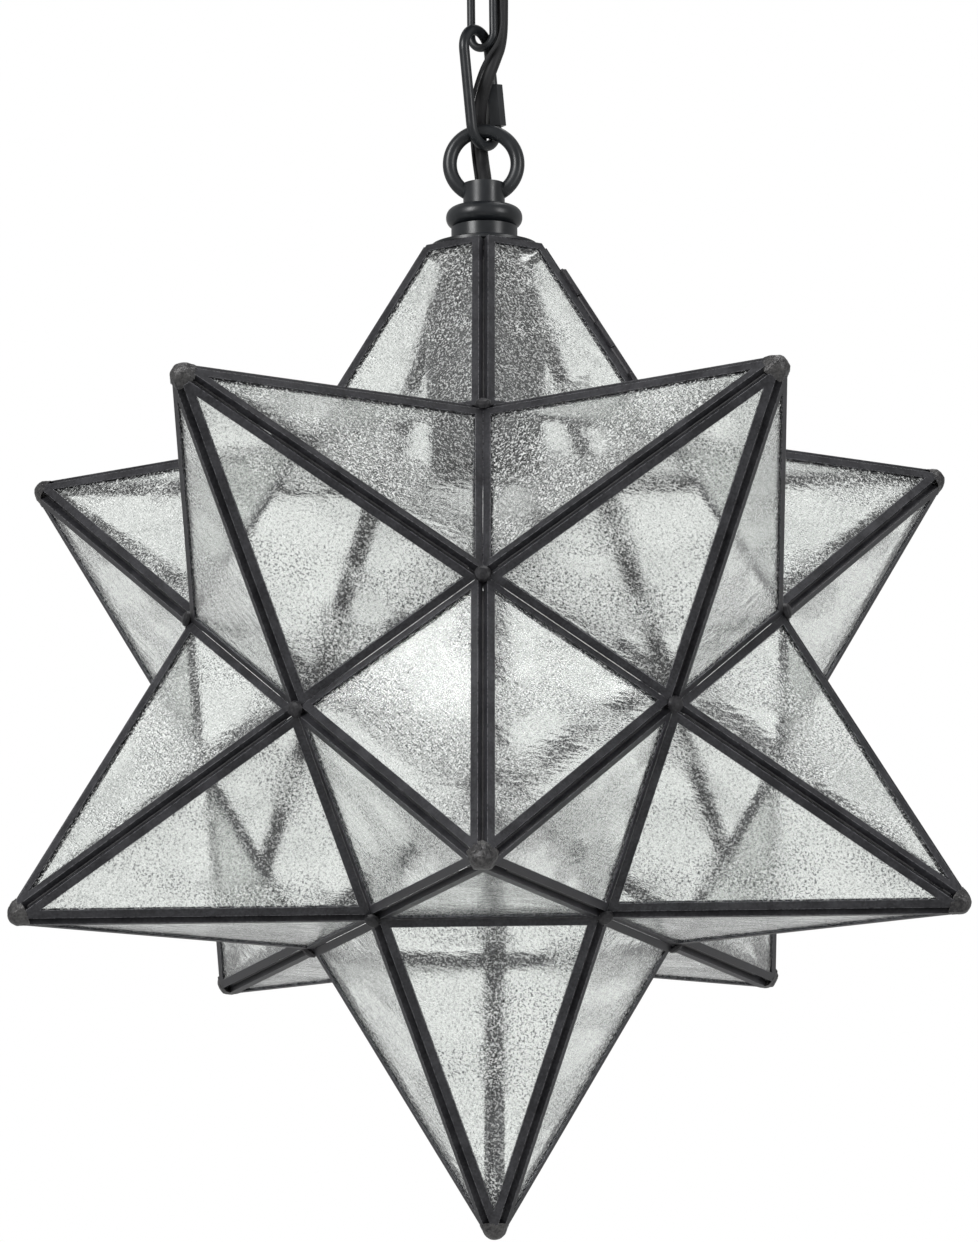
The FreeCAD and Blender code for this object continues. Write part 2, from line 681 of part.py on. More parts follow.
fixture_ring = eye("fixture_ring", "dims.loop_radius", "dims.loop_wire / 2")
fixture_ring.Placement = Placement(Vector(), Rotation(Vector(1, 0, 0), 90))
bind(fixture_ring, Placement__Base__z=LOOP_MIDDLE)
collar = primitive(
    "Cylinder",
    "fixture_collar",
    Radius="dims.collar_dia / 2",
    Height="dims.collar_high",
    Placement__Base__z=BEAD_HIGH,
)
cord_hole = primitive(
    "Cylinder",
    "fixture_cord_hole",
    Radius="dims.nipple_bore / 2",
    Height=f"dims.collar_high + dims.loop_wire / 2 + {THROUGH}",
    Placement__Base__z=f"{BEAD_HIGH} - {THROUGH}",
)
thread_hole = primitive(
    "Cylinder",
    "fixture_thread_hole",
    Radius=NIPPLE_HOLE,
    Height=f"dims.nipple_above + dims.nipple_play + {THROUGH}",
    Placement__Base__z=f"{BEAD_HIGH} - {THROUGH}",
)
keep(cut(
    "fixture_loop",
    fuse("fixture_loop_solid", [fixture_ring, collar]),
    fuse("fixture_loop_holes", [cord_hole, thread_hole]),
))


def nipple(label, low, high):
    """A threaded tube between two heights."""
    return keep(turned(label, [
        ("dims.nipple_bore / 2", low),
        ("dims.nipple_dia / 2", low),
        ("dims.nipple_dia / 2", high),
        ("dims.nipple_bore / 2", high),
    ]))


def hex_nut(label, low):
    blank = primitive(
        "Prism", label + "_blank", Circumradius="dims.nut_corner", Height="dims.nut_high"
    )
    blank.Polygon = 6
    bind(blank, Placement__Base__z=low)
    hole = primitive(
        "Cylinder", label + "_hole", Radius=NIPPLE_HOLE, Height=f"dims.nut_high + {2 * THROUGH}"
    )
    bind(hole, Placement__Base__z=f"{low} - {THROUGH}")
    return cut(label, blank, hole)


nipple("nipple", NIPPLE_LOW, NIPPLE_HIGH)
keep(hex_nut("lock_nut", NUT_LOW))


# The socket cup under the cap, with the lamp holder in it.

CUP_NECK_BORE = "dims.cup_neck_dia / 2 - dims.cup_wall"
CUP_BORE = "dims.cup_dia / 2 - dims.cup_wall"
WELL_RADIUS = "dims.shell_dia / 2 + dims.shell_wall + dims.well_play"

keep(turned("socket_neck", [
    (CUP_NECK_BORE, CUP_HIGH),
    ("dims.cup_neck_dia / 2", CUP_HIGH),
    ("dims.cup_neck_dia / 2", CUP_NECK_HIGH),
    (NIPPLE_HOLE, CUP_NECK_HIGH),
    (NIPPLE_HOLE, f"{CUP_NECK_HIGH} - dims.cup_wall"),
    (CUP_NECK_BORE, f"{CUP_NECK_HIGH} - dims.cup_wall"),
]))
keep(turned("socket_cup", [
    (CUP_BORE, f"{CUP_HIGH} - dims.cup_long"),
    ("dims.cup_dia / 2", f"{CUP_HIGH} - dims.cup_long"),
    ("dims.cup_dia / 2", CUP_HIGH),
    (NIPPLE_HOLE, CUP_HIGH),
    (NIPPLE_HOLE, f"{CUP_HIGH} - dims.cup_wall"),
    (CUP_BORE, f"{CUP_HIGH} - dims.cup_wall"),
], [(2, "dims.cup_round"), (5, "dims.cup_round - dims.cup_wall")]))
keep(turned("holder_body", [
    (WELL_RADIUS, f"{HOLDER_HIGH} - dims.holder_long"),
    ("dims.holder_dia / 2", f"{HOLDER_HIGH} - dims.holder_long"),
    ("dims.holder_dia / 2", HOLDER_HIGH),
    (NIPPLE_HOLE, HOLDER_HIGH),
    (NIPPLE_HOLE, NIPPLE_LOW),
    ("dims.nipple_bore / 2", NIPPLE_LOW),
    ("dims.nipple_bore / 2", CORD_END),
    ("0", CORD_END),
    ("0", WELL_HIGH),
    (WELL_RADIUS, WELL_HIGH),
]))
keep(turned("screw_shell", [
    ("dims.shell_dia / 2", f"{SHELL_HIGH} - dims.shell_long"),
    ("dims.shell_dia / 2 + dims.shell_wall", f"{SHELL_HIGH} - dims.shell_long"),
    ("dims.shell_dia / 2 + dims.shell_wall", SHELL_HIGH),
    ("dims.shell_dia / 2", SHELL_HIGH),
]))
keep(primitive(
    "Cylinder",
    "centre_contact",
    Radius="dims.contact_dia / 2",
    Height="dims.contact_high",
    Placement__Base__z=f"{WELL_HIGH} - dims.contact_high",
))


# The chain's pieces, which lie where its bearings were worked out above.


def oval(label, wire, wide, long_, mouth):
    """A wire oval, upright along its own Y, whose +X leg may have a mouth."""
    pieces = []
    for end, turn_by in ((1, 0), (-1, 180)):
        arc = primitive(
            "Torus", f"{label}_end_{end + 1}", Radius1=f"{wide} / 2", Radius2=f"{wire} / 2"
        )
        arc.Angle3 = 180
        arc.Placement = Placement(Vector(), Rotation(up, turn_by))
        bind(arc, Placement__Base__y=f"{end} * ({long_} - {wide}) / 2")
        pieces.append(arc)
    half = f"(({long_} - {wide}) / 2)"
    legs = [("left", f"-{wide} / 2", f"-{half}", f"2 * {half}")]
    if mouth:
        legs.append(("low", f"{wide} / 2", f"-{half}", f"{half} - dims.mouth_low"))
        legs.append(("high", f"{wide} / 2", "-dims.mouth_high", f"{half} + dims.mouth_high"))
    else:
        legs.append(("right", f"{wide} / 2", f"-{half}", f"2 * {half}"))
    for side, x, start, length in legs:
        leg = primitive("Cylinder", f"{label}_{side}", Radius=f"{wire} / 2", Height=length)
        leg.Placement = Placement(Vector(), Rotation(Vector(1, 0, 0), -90))
        bind(leg, Placement__Base__x=x, Placement__Base__y=start)
        pieces.append(leg)
    return keep(fuse(label, pieces))


quick_x = quick_across * math.cos(lean) + up * math.sin(lean)
quick_y = up * math.cos(lean) - quick_across * math.sin(lean)
quick_rotation = Rotation(quick_x, quick_y, quick_x.cross(quick_y), "XYZ")
quick_middle = Vector(0, 0, swing_star) - quick_rotation.multVec(foot_bearing)

quick_link = oval("quick_link", "dims.wire_quick", "dims.quick_wide", "dims.quick_long", True)
quick_link.Placement = Placement(quick_middle, quick_rotation)

sleeve = primitive(
    "Prism", "sleeve_blank", Circumradius="dims.sleeve_corner", Height="dims.sleeve_long"
)
sleeve.Polygon = 6
sleeve_bore = primitive(
    "Cylinder",
    "sleeve_bore",
    Radius="dims.wire_quick / 2 + dims.sleeve_play",
    Height=f"dims.sleeve_long + {2 * THROUGH}",
    Placement__Base__z=f"-{THROUGH}",
)
quick_link_nut = cut("quick_link_nut", sleeve, sleeve_bore)
sleeve_foot = Vector(
    size["quick_wide"] / 2, -size["sleeve_middle"] - size["sleeve_long"] / 2, 0
)
quick_link_nut.Placement = Placement(quick_middle, quick_rotation).multiply(
    Placement(sleeve_foot, Rotation(Vector(1, 0, 0), -90))
)
keep(quick_link_nut)

for label, pivot, across in (
    ("link_1", swing_quick, chain_across),
    ("link_2", swing_link_1, quick_across),
):
    link = oval(label, "dims.wire_link", "dims.link_wide", "dims.link_long", False)
    link.Placement = Placement(
        Vector(0, 0, pivot + size["link_long"] / 2), Rotation(across, up, across.cross(up), "XYZ")
    )


# The ceiling end.

hook_ring = eye("hook_ring", "dims.hook_radius", "dims.hook_wire / 2")
hook_ring.Placement = Placement(
    Vector(0, 0, swing_link_2 + size["hook_radius"]),
    Rotation(chain_across, up, chain_across.cross(up), "XYZ"),
)
stem = primitive(
    "Cylinder",
    "hook_stem",
    Radius="dims.stem_dia / 2",
    Height="dims.stem_high - dims.stem_low",
    Placement__Base__z="dims.stem_low",
)
stem_cord_hole = primitive(
    "Cylinder",
    "hook_cord_hole",
    Radius="dims.nipple_bore / 2",
    Height=f"dims.stem_high - dims.stem_low + dims.hook_wire + {THROUGH}",
    Placement__Base__z="dims.stem_low - dims.hook_wire",
)
stem_thread_hole = primitive(
    "Cylinder",
    "hook_thread_hole",
    Radius=NIPPLE_HOLE,
    Height=f"dims.stem_high - dims.stem_seat + {THROUGH}",
    Placement__Base__z="dims.stem_seat",
)
keep(cut(
    "canopy_loop",
    fuse("canopy_loop_solid", [hook_ring, stem]),
    fuse("canopy_loop_holes", [stem_cord_hole, stem_thread_hole]),
))

# The canopy's profile falls from its rim over a rounded edge to the flat round its hole.
RIM_SHARE = 0.24
SHOULDER_SHARE = 0.56
BROW_SHARE = 0.9
CANOPY_HOLE = "dims.stem_dia / 2 + dims.canopy_hole_play"
CANOPY_RADIUS = "dims.canopy_dia / 2"

keep(turned("canopy", [
    (f"{CANOPY_RADIUS} - dims.canopy_wall", "-dims.ceiling_play"),
    (CANOPY_RADIUS, "-dims.ceiling_play"),
    (CANOPY_RADIUS, f"-{RIM_SHARE} * dims.canopy_deep"),
    (f"{CANOPY_RADIUS} - dims.canopy_shoulder", f"-{SHOULDER_SHARE} * dims.canopy_deep"),
    (f"{CANOPY_RADIUS} / 2", f"-{BROW_SHARE} * dims.canopy_deep"),
    (f"{CANOPY_HOLE} + dims.canopy_flat", "-dims.canopy_deep"),
    (CANOPY_HOLE, "-dims.canopy_deep"),
    (CANOPY_HOLE, "dims.canopy_wall - dims.canopy_deep"),
    (
        f"{CANOPY_HOLE} + dims.canopy_flat - 0.1 * dims.canopy_wall",
        "dims.canopy_wall - dims.canopy_deep",
    ),
    (
        f"{CANOPY_RADIUS} / 2 - 0.3 * dims.canopy_wall",
        f"dims.canopy_wall - {BROW_SHARE} * dims.canopy_deep",
    ),
    (
        f"{CANOPY_RADIUS} - dims.canopy_shoulder - 0.7 * dims.canopy_wall",
        f"0.8 * dims.canopy_wall - {SHOULDER_SHARE} * dims.canopy_deep",
    ),
    (
        f"{CANOPY_RADIUS} - dims.canopy_wall",
        f"0.2 * dims.canopy_wall - {RIM_SHARE} * dims.canopy_deep",
    ),
]))

SCREW_COLLAR_BORE = "(dims.stem_dia / 2 + dims.collar_play)"
SCREW_COLLAR_HIGH = "(-dims.canopy_deep - dims.collar_seat)"
SCREW_COLLAR_LOW = f"({SCREW_COLLAR_HIGH} - dims.screw_collar_high)"
keep(turned("screw_collar", [
    (SCREW_COLLAR_BORE, SCREW_COLLAR_LOW),
    (f"{SCREW_COLLAR_BORE} + dims.collar_wall - dims.collar_bevel", SCREW_COLLAR_LOW),
    (f"{SCREW_COLLAR_BORE} + dims.collar_wall", f"{SCREW_COLLAR_LOW} + dims.collar_bevel"),
    (f"{SCREW_COLLAR_BORE} + dims.collar_wall", f"{SCREW_COLLAR_HIGH} - dims.collar_bevel"),
    (f"{SCREW_COLLAR_BORE} + dims.collar_wall - dims.collar_bevel", SCREW_COLLAR_HIGH),
    (SCREW_COLLAR_BORE, SCREW_COLLAR_HIGH),
]))


def crossbar():
    """A flat bar with two slots, a hole for the nipple and one for the ground screw."""
    body = doc.addObject("PartDesign::Body", "crossbar")
    corner_signs = [(-1, -1), (1, -1), (1, 1), (-1, 1)]
    rectangle = []
    for x, y in corner_signs:
        rectangle.append((f"{x} * dims.bar_long / 2", f"{y} * dims.bar_wide / 2"))
    pad = body.newObject("PartDesign::Pad", "crossbar_pad")
    pad.Profile = outline(body, "crossbar_outline", "XY_Plane", rectangle)
    pad.Reversed = True
    bind(pad, Length="dims.bar_thick")
    holes = body.newObject("Sketcher::SketchObject", "crossbar_holes")
    holes.AttachmentSupport = [(origin_plane(body, "XY_Plane"), "")]
    holes.MapMode = "FlatFace"
    centre = Vector(0, 0, 0)
    for x, radius in (("0", NIPPLE_HOLE), ("dims.earth_x", "dims.earth_shank / 2 + dims.seat_play")):
        circle = holes.addGeometry(Part.Circle(centre, up, 3), False)
        if x == "0":
            holes.addConstraint(Sketcher.Constraint("Coincident", circle, 3, -1, 1))
        else:
            holes.addConstraint(Sketcher.Constraint("PointOnObject", circle, 3, -1))
            number = holes.addConstraint(Sketcher.Constraint("DistanceX", -1, 1, circle, 3, 5.0))
            holes.setExpression(f"Constraints[{number}]", x)
        number = holes.addConstraint(Sketcher.Constraint("Radius", circle, 3.0))
        holes.setExpression(f"Constraints[{number}]", radius)
    drilled = body.newObject("PartDesign::Pocket", "crossbar_drilled")
    drilled.Profile = holes
    drilled.Type = "ThroughAll"
    slots = []
    for side in (-1, 1):
        for end in (-1, 1):
            round_end = primitive(
                "Cylinder",
                f"slot_end_{side + 1}_{end + 1}",
                Radius="dims.slot_wide / 2",
                Height=f"dims.bar_thick + {2 * THROUGH}",
                Placement__Base__x=(
                    f"{side} * dims.slot_spacing / 2 + {end} * (dims.slot_long - dims.slot_wide) / 2"
                ),
                Placement__Base__z=f"-dims.bar_thick - {THROUGH}",
            )
            slots.append(round_end)
        middle = primitive(
            "Box",
            f"slot_middle_{side + 1}",
            Length="dims.slot_long - dims.slot_wide",
            Width="dims.slot_wide",
            Height=f"dims.bar_thick + {2 * THROUGH}",
            Placement__Base__x=(
                f"{side} * dims.slot_spacing / 2 - (dims.slot_long - dims.slot_wide) / 2"
            ),
            Placement__Base__y="-dims.slot_wide / 2",
            Placement__Base__z=f"-dims.bar_thick - {THROUGH}",
        )
        slots.append(middle)
    body.Label = "crossbar_blank"
    bar = cut("crossbar_slotted", body, fuse("crossbar_slots", slots))
    bar.Label = "crossbar"
    return keep(bar)


crossbar()
nipple("canopy_nipple", "dims.stem_seat + dims.bar_nipple_gap", "dims.bar_nipple_above")
canopy_nuts = doc.addObject("Part::Compound", "canopy_nuts")
canopy_nuts.Links = [
    hex_nut("canopy_nut_low", "-dims.bar_thick - dims.seat_play - dims.nut_high"),
    hex_nut("canopy_nut_high", "dims.seat_play"),
]
keep(canopy_nuts)

EARTH_SEAT = "(-dims.bar_thick - dims.seat_play)"
ground_screw = turned("ground_screw", [
    ("0", f"{EARTH_SEAT} - dims.earth_head_high"),
    ("dims.earth_head / 2", f"{EARTH_SEAT} - dims.earth_head_high"),
    ("dims.earth_head / 2", EARTH_SEAT),
    ("dims.earth_shank / 2", EARTH_SEAT),
    ("dims.earth_shank / 2", "dims.earth_tip"),
    ("0", "dims.earth_tip"),
])
keep(bind(ground_screw, Placement__Base__x="dims.earth_x"))


def splices():
    """The two wire nuts that close the cord's upper end, in the ceiling box."""
    cones = []
    for side in (-1, 1):
        cone = primitive(
            "Cone",
            f"splice_{side + 1}",
            Radius1="dims.splice_mouth / 2",
            Radius2="dims.splice_tip / 2",
            Height="dims.splice_long",
            Placement__Base__x=f"dims.cord_x + {side} * (dims.splice_mouth + dims.splice_gap) / 2",
            Placement__Base__z="dims.splice_low",
        )
        cones.append(cone)
    group = doc.addObject("Part::Compound", "wire_nuts")
    group.Links = cones
    return keep(group)


splices()


# The cord and the ground wire beside it run from the wire nuts down through the canopy loop,
# beside the chain, through the quick link's window, behind the top of the fixture's loop and down
# its collar into the lamp holder. Heights are above the middle of the fixture's loop, and those
# beside the chain keep their distance from where its links hang.

loop_middle = swing_star - size["loop_radius"]
cord_top = size["splice_low"] - loop_middle
stem_mouth = size["stem_low"] - loop_middle
cord_end = star_centre.z + loop_top - 2 * size["loop_radius"] + size["loop_sunk"]
cord_end -= size["collar_high"] + size["bead_high"] + size["neck_high"] + size["cap_high"]
cord_end -= size["nipple_below"] + size["cord_room"] + loop_middle
at_link_2 = swing_link_2 - loop_middle
at_link_1 = swing_link_1 - loop_middle
at_quick = swing_quick - loop_middle

CORD_ROUTE = [
    (size["cord_x"], 0.0, cord_top),
    (size["cord_x"], 0.0, stem_mouth - size["cord_lead"]),
    (8.6, 1.6, at_link_2 + 0.3),
    (8.3, -0.4, at_link_2 - 13.7),
    (8.1, -0.1, at_link_1 + 2.9),
    (8.1, 0.5, at_link_1 - 11.1),
    (7.7, 1.3, at_quick + 2.8),
    (4.6, -2.0, at_quick - 6.7),
    (0.5, -1.3, 32.0),
    (-1.6, 2.5, 23.5),
    (-1.6, 7.4, 14.5),
    (-0.7, 7.4, 3.5),
    (size["cord_x"], 0.0, -8.0),
    (size["cord_x"], 0.0, cord_end),
]
EARTH_ROUTE = [
    (size["earth_wire_x"], 0.0, cord_top),
    (size["earth_wire_x"], 0.0, stem_mouth + size["earth_lead"]),
    (-1.4, -3.2, at_link_2 + 8.3),
    (1.6, -6.0, at_link_2 - 1.7),
    (6.6, -5.6, at_link_2 - 14.7),
    (8.0, -4.8, at_link_1 + 2.9),
    (7.9, -4.2, at_link_1 - 11.1),
    (8.2, -3.4, at_quick + 3.8),
    (1.4, -3.7, at_quick - 7.2),
    (-2.9, -2.6, 32.0),
    (-5.1, 0.8, 23.5),
    (-5.3, 6.2, 14.5),
    (-4.4, 7.1, 4.0),
    (size["earth_wire_x"], 0.0, -8.0),
    (size["earth_wire_x"], 0.0, cord_end),
]
# Where one stretch of cord ends and the next begins: the run after this point of each route.
CORD_SPLITS = [3, 5, 8]
EARTH_SPLITS = [4, 6, 9]


def rounded_edges(route):
    """Straight runs joined by tangent arcs, listed by the run that they belong to."""
    points = [Vector(x, y, loop_middle + height) for x, y, height in route]
    runs = []
    begin = points[0]
    for i in range(1, len(points) - 1):
        before = points[i] - points[i - 1]
        after = points[i + 1] - points[i]
        angle = before.getAngle(after)
        setback = 0.45 * min(before.Length, after.Length)
        radius = setback / math.tan(angle / 2)
        enter = points[i] - before.normalize() * setback
        leave = points[i] + after.normalize() * setback
        centre_way = (after - before).normalize()
        crown = points[i] + centre_way * (radius / math.cos(angle / 2) - radius)
        runs.append((Part.LineSegment(begin, enter), Part.Arc(enter, crown, leave)))
        print("bend radius", round(radius, 1))
        begin = leave
    runs.append((Part.LineSegment(begin, points[-1]), None))
    return runs


def stretches(route, splits, diameter):
    """The tube along a route, cut in the middle of the split runs."""
    runs = rounded_edges(route)
    groups = [[]]
    for number, (line, arc) in enumerate(runs):
        if number in splits:
            middle = (line.StartPoint + line.EndPoint) * 0.5
            groups[-1].append(Part.LineSegment(line.StartPoint, middle))
            groups.append([])
            line = Part.LineSegment(middle, line.EndPoint)
        groups[-1].append(line)
        if arc is not None:
            groups[-1].append(arc)
    solids = []
    for group in groups:
        path = Part.Wire([curve.toShape() for curve in group])
        start = group[0].StartPoint
        heading = group[0].EndPoint - start
        section = Part.Wire(Part.Circle(start, heading, diameter / 2).toShape())
        solid = path.makePipeShell([section], True, True)
        expected = math.pi * diameter**2 / 4 * path.Length
        if abs(solid.Volume / expected - 1) > 0.01:
            raise ValueError("a stretch of cord has the wrong volume")
        solids.append(solid)
    return solids


cord_solids = stretches(CORD_ROUTE, CORD_SPLITS, size["cord_dia"])
earth_solids = stretches(EARTH_ROUTE, EARTH_SPLITS, size["earth_dia"])
for number, (cord, earth) in enumerate(zip(cord_solids, earth_solids), start=1):
    stretch = doc.addObject("Part::Feature", f"cord_{number}")
    stretch.Shape = Part.makeCompound([cord, earth])
    keep(stretch)


doc.recompute()
for thing in doc.Objects:
    if "Invalid" in thing.State or "Error" in thing.State:
        raise ValueError(f"{thing.Label} failed: {thing.State}")
labels = [node.Label for node in nodes]
if len(set(labels)) != len(labels):
    raise ValueError("two sub-parts share a name")
os.makedirs("parts", exist_ok=True)
for node in nodes:
    shape = node.Shape
    if shape.isNull() or not shape.isValid() or shape.Volume <= 0:
        raise ValueError(f"{node.Label} has no valid shape")
    shape.exportStep(f"parts/{node.Label}.step")
print(len(nodes), "sub-parts")
print("swing heights", swing_star, swing_quick, swing_link_1, swing_link_2, "star", star_centre.z)
print("quick link along", quick_y, "its sleeve's leg through", quick_link_nut.Placement.Base)
print("hinge", barrel_top, ridge)
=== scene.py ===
import math
import random

import bmesh
import bpy
from mathutils import Matrix, Vector, noise


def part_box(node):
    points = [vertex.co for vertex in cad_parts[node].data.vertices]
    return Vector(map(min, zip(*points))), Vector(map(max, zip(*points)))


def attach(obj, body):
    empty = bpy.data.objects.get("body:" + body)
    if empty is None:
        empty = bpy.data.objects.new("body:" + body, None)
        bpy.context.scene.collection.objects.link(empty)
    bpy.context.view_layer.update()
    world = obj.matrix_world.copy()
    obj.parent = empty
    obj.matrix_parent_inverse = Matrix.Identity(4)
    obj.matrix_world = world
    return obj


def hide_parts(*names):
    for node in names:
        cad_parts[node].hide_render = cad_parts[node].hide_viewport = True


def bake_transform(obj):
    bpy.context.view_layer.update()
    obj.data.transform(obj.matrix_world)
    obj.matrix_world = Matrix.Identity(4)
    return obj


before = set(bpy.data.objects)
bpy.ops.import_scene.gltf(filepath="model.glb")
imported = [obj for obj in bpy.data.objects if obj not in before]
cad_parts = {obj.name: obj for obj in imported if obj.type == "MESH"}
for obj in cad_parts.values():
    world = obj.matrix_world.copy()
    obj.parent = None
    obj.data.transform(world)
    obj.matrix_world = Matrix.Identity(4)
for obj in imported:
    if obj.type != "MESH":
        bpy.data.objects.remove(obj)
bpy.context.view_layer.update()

MM = 0.001
SHARP_FROM = math.radians(50)  # faces that meet more sharply than this keep a crisp edge

# ---------------------------------------------------------------- camera
# The photograph's camera, fitted to the star's corners.
STAR_CENTRE = Vector((0, 0, -384.997)) * MM
CAMERA_AZIMUTH = math.radians(0.88)
CAMERA_ELEVATION = math.radians(-10.02)
CAMERA_ROLL = math.radians(-0.58)
CAMERA_DISTANCE = 2659.56 * MM
AIM_ABOVE_CENTRE = 28.33 * MM
PHOTO_HEIGHT = 1242  # pixels
FOCAL_LENGTH = 6600  # pixels
SENSOR_LONG_SIDE = 36.0
CLIP_NEAR = 0.05
CLIP_FAR = 60


def camera_axes(azimuth, elevation, roll):
    """Right, up and back of a camera that looks at the star from that side."""
    level = math.cos(elevation)
    back = Vector((math.sin(azimuth) * level, -math.cos(azimuth) * level, math.sin(elevation)))
    right = Vector((math.cos(azimuth), math.sin(azimuth), 0))
    up = back.cross(right)
    return (
        math.cos(roll) * right + math.sin(roll) * up,
        math.cos(roll) * up - math.sin(roll) * right,
        back,
    )


def add_camera():
    right, up, back = camera_axes(CAMERA_AZIMUTH, CAMERA_ELEVATION, CAMERA_ROLL)
    place = STAR_CENTRE + back * CAMERA_DISTANCE
    aim = STAR_CENTRE + up * AIM_ABOVE_CENTRE
    back = (place - aim).normalized()
    right = up.cross(back).normalized()
    up = back.cross(right)
    data = bpy.data.cameras.new("photo_camera")
    data.sensor_width = SENSOR_LONG_SIDE
    data.lens = FOCAL_LENGTH / PHOTO_HEIGHT * SENSOR_LONG_SIDE
    data.clip_start = CLIP_NEAR
    data.clip_end = CLIP_FAR
    camera = bpy.data.objects.new("photo_camera", data)
    bpy.context.scene.collection.objects.link(camera)
    turn = Matrix((right, up, back)).transposed().to_4x4()
    camera.matrix_world = Matrix.Translation(place) @ turn
    bpy.context.scene.camera = camera


add_camera()


# ---------------------------------------------------------------- making pieces
def ring_quads(first, rings, sides):
    """The faces between rings of vertices that follow one another from number first."""
    faces = []
    for ring in range(rings - 1):
        low = first + ring * sides
        for k in range(sides):
            n = (k + 1) % sides
            faces.append((low + k, low + n, low + sides + n, low + sides + k))
    return faces


def ring_face(first, sides):
    """One face over a whole ring."""
    return tuple(first + k for k in range(sides))


def tube_faces(first, rings, sides):
    """The faces of a tube that is closed at both ends."""
    faces = ring_quads(first, rings, sides)
    faces.append(ring_face(first, sides)[::-1])
    faces.append(ring_face(first + (rings - 1) * sides, sides))
    return faces


def smooth_piece(name, vertices, faces):
    """A new object that is shaded smooth but for its crisp edges."""
    mesh = bpy.data.meshes.new(name)
    mesh.from_pydata(vertices, [], faces)
    mesh.shade_smooth()
    mesh.set_sharp_from_angle(angle=SHARP_FROM)
    mesh.update()
    piece = bpy.data.objects.new(name, mesh)
    bpy.context.scene.collection.objects.link(piece)
    return piece


# ---------------------------------------------------------------- supply cord and ground wire
# Routes are in mm: to the right, away from the camera, and above the middle of the fixture's loop.
LOOP_MIDDLE = -165.989
CORD_ROUTE = [
    (0.8, 0, 177.989), (0.8, 0, 134), (0.8, 0, 124.989), (8.6, 1.6, 111), (8.3, -0.4, 97),
    (8.1, -0.1, 83), (8.1, 0.5, 69), (7.7, 1.3, 52), (4.6, -2.3, 42.5), (0.5, -1.3, 32),
    (-1.6, 2.5, 23.5), (-1.6, 7.4, 14.5), (-0.7, 7.4, 3.5), (0.8, 0, -8), (0.8, 0, -16),
    (0.8, 0, -76),
]
EARTH_ROUTE = [
    (-2.7, 0, 177.989), (-2.7, 0, 140), (-2.7, 0, 130.989), (-1.4, -3.2, 119), (1.6, -6.0, 109),
    (6.6, -5.6, 96), (8.0, -4.8, 83), (8.0, -4.4, 69), (8.4, -4.2, 53), (0.9, -5.4, 42),
    (-3.0, -2.8, 32), (-5.1, 0.8, 23.5), (-4.9, 8.6, 14.5), (-4.1, 8.8, 4), (-2.6, 0.8, -8),
    (-2.6, 0.8, -16), (-2.6, 0.8, -76),
]
POINTS_PER_SPAN = 30
CORD_THICK = 5.4 * MM
CORD_SIDES = 28
EARTH_THICK = 1.6 * MM
EARTH_SIDES = 14
# Each stretch of cord crosses one joint: the bodies above and below it, the height where the
# stretch ends, and the two heights between which it would bend, in mm from the crossbar's top face.
CORD_STRETCHES = [
    ("ceiling_bar", "chain_link_2", -73.6, -47.3, -63.3),
    ("chain_link_2", "chain_link_1", -107.4, -77.9, -93.9),
    ("chain_link_1", "quick_link", -139.0, -109.8, -123.8),
    ("quick_link", "star", None, -144.1, -160.1),
]


def route_line(name, route):
    """The points that the route's spline passes through, read from the curve itself."""
    curve = bpy.data.curves.new(name, "CURVE")
    curve.dimensions = "3D"
    curve.resolution_u = POINTS_PER_SPAN
    spline = curve.splines.new("NURBS")
    spline.points.add(len(route) - 1)
    for point, (x, y, height) in zip(spline.points, route):
        point.co = (x * MM, y * MM, (LOOP_MIDDLE + height) * MM, 1)
    spline.order_u = 3
    spline.use_endpoint_u = True
    holder = bpy.data.objects.new(name, curve)
    mesh = bpy.data.meshes.new_from_object(holder)
    line = [v.co.copy() for v in mesh.vertices]
    bpy.data.objects.remove(holder)
    bpy.data.curves.remove(curve)
    bpy.data.meshes.remove(mesh)
    return line if line[0].z > line[-1].z else line[::-1]


def sweep_frames(line):
    """Two directions across the line at each of its points, turned as little as possible along it."""
    pairs = []
    across = Vector((1, 0, 0))
    for i in range(len(line)):
        along = (line[min(i + 1, len(line) - 1)] - line[max(i - 1, 0)]).normalized()
        across = (across - along * across.dot(along)).normalized()
        pairs.append((across.copy(), along.cross(across)))
    return pairs


def tube(line, pairs, radius, sides):
    """The vertices and faces of a tube round the line."""
    vertices = []
    for centre, (a, b) in zip(line, pairs):
        for k in range(sides):
            turn = 2 * math.pi * k / sides
            vertices.append(centre + (a * math.cos(turn) + b * math.sin(turn)) * radius)
    return vertices, tube_faces(0, len(line), sides)


def lay_cord(name, route, thick, sides):
    """One cord in four stretches that meet inside the links."""
    line = route_line(name, route)
    pairs = sweep_frames(line)
    start = 0
    made = []
    for number, (upper, lower, bottom, bend_from, bend_to) in enumerate(CORD_STRETCHES, 1):
        end = len(line) - 1
        if bottom is not None:
            end = next(i for i, point in enumerate(line) if point.z < bottom * MM)
        part = line[start:end + 1]
        vertices, faces = tube(part, pairs[start:end + 1], thick / 2, sides)
        piece = smooth_piece(f"{name}_{number}", vertices, faces)
        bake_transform(piece)
        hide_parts(f"cord_{number}")
        made.append(piece)
        start = end
    return made


cords = lay_cord("supply_cord", CORD_ROUTE, CORD_THICK, CORD_SIDES)
cords += lay_cord("ground_wire", EARTH_ROUTE, EARTH_THICK, EARTH_SIDES)


# ---------------------------------------------------------------- the star's directions
SPIKE_RING = 2 / math.sqrt(5)
SPIKE_RISE = 1 / math.sqrt(5)  # also the cosine between two spikes that stand side by side
SPIKE_TURN = 72  # degrees from one spike of a ring to the next
UPPER_FROM = SPIKE_TURN / 2  # the upper ring stands half a step round from the lower one


